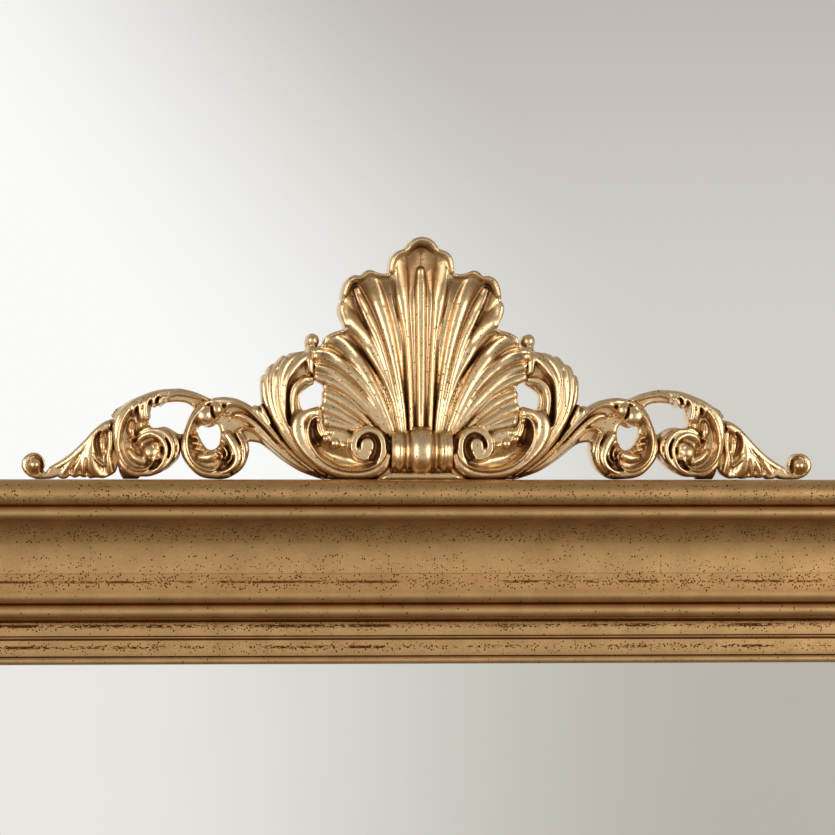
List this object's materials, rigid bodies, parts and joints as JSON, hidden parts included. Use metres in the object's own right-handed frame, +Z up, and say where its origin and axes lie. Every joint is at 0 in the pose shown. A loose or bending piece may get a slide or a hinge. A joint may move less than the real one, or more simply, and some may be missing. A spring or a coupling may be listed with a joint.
{
  "type": "overmantel mirror",
  "caption": "Wide gilt wall mirror with a moulded frame and liner, carved scallop shell crest on scrolls and leaves, and strap rings behind.",
  "frame": {"origin": "middle of the back panel's rear face, in the plane of the frame's back", "axes": "+X to the viewer's right along the top rail, +Z up, +Y back towards the wall; the mirror faces -Y"},
  "size_m": [1.22, 0.0659, 1.0602],
  "materials": {
    "gilt_moulding": "pine and gesso under satin antique gold leaf over dark bole, speckled and rubbed",
    "gilt_liner": "pine and gesso under satin antique gold leaf, rubbed streaks along the flats",
    "gilt_carving": "carved wood under burnished antique gold leaf with dark patina in the hollows",
    "silvered_glass": "silvered plate glass",
    "grey_card": "soft packing card",
    "back_panel": "plain brown board with a light grain",
    "beech": "bare beech",
    "zinc_steel": "bright zinc",
    "brass": "satin brass",
    "black_rubber": "matt black"
  },
  "bodies": {
    "frame": {"outer_rail_top": "gilt_moulding", "liner_rail_top": "gilt_liner", "outer_rail_right": "gilt_moulding", "liner_rail_right": "gilt_liner", "outer_rail_bottom": "gilt_moulding", "liner_rail_bottom": "gilt_liner", "outer_rail_left": "gilt_moulding", "liner_rail_left": "gilt_liner", "v_nail_lower_left": "zinc_steel", "v_nail_upper_left": "zinc_steel", "v_nail_lower_right": "zinc_steel", "v_nail_upper_right": "zinc_steel", "mirror_glass": "silvered_glass", "packing_sheet": "grey_card", "backing_board": "back_panel", "setting_block_left": "beech", "setting_block_right": "beech", "board_screw_1": "zinc_steel", "board_screw_2": "zinc_steel", "board_screw_3": "zinc_steel", "board_screw_4": "zinc_steel", "board_screw_5": "zinc_steel", "board_screw_6": "zinc_steel", "board_screw_7": "zinc_steel", "board_screw_8": "zinc_steel", "board_screw_9": "zinc_steel", "board_screw_10": "zinc_steel", "board_screw_11": "zinc_steel", "board_screw_12": "zinc_steel", "hanger_strap_left": "brass", "wall_bumper_left": "black_rubber", "hanger_screw_left_1": "brass", "hanger_screw_left_2": "brass", "hanger_strap_right": "brass", "wall_bumper_right": "black_rubber", "hanger_screw_right_1": "brass", "hanger_screw_right_2": "brass", "crest_collar": "gilt_carving", "crest_foot": "gilt_carving", "crest_shell": "gilt_carving", "crest_scroll_left": "gilt_carving", "crest_leaf_left": "gilt_carving", "crest_stem_left": "gilt_carving", "crest_arch_left": "gilt_carving", "crest_tail_left": "gilt_carving", "crest_plate_left": "zinc_steel", "crest_dowel_left": "beech", "crest_screw_left_lower": "zinc_steel", "crest_screw_left_upper": "zinc_steel", "crest_scroll_right": "gilt_carving", "crest_leaf_right": "gilt_carving", "crest_stem_right": "gilt_carving", "crest_arch_right": "gilt_carving", "crest_tail_right": "gilt_carving", "crest_plate_right": "zinc_steel", "crest_dowel_right": "beech", "crest_screw_right_lower": "zinc_steel", "crest_screw_right_upper": "zinc_steel"},
    "left_ring": {"hanger_ring_left": "brass"},
    "right_ring": {"hanger_ring_right": "brass"}
  },
  "joints": [
    {"name": "left_ring_swing", "type": "hinge", "parent": "frame", "child": "left_ring", "pos_m": [-0.578, 0.0033, 0.23], "axis": [-1, 0, 0], "range_deg": [0, 180]},
    {"name": "right_ring_swing", "type": "hinge", "parent": "frame", "child": "right_ring", "pos_m": [0.578, 0.0033, 0.23], "axis": [-1, 0, 0], "range_deg": [0, 180]}
  ]
}
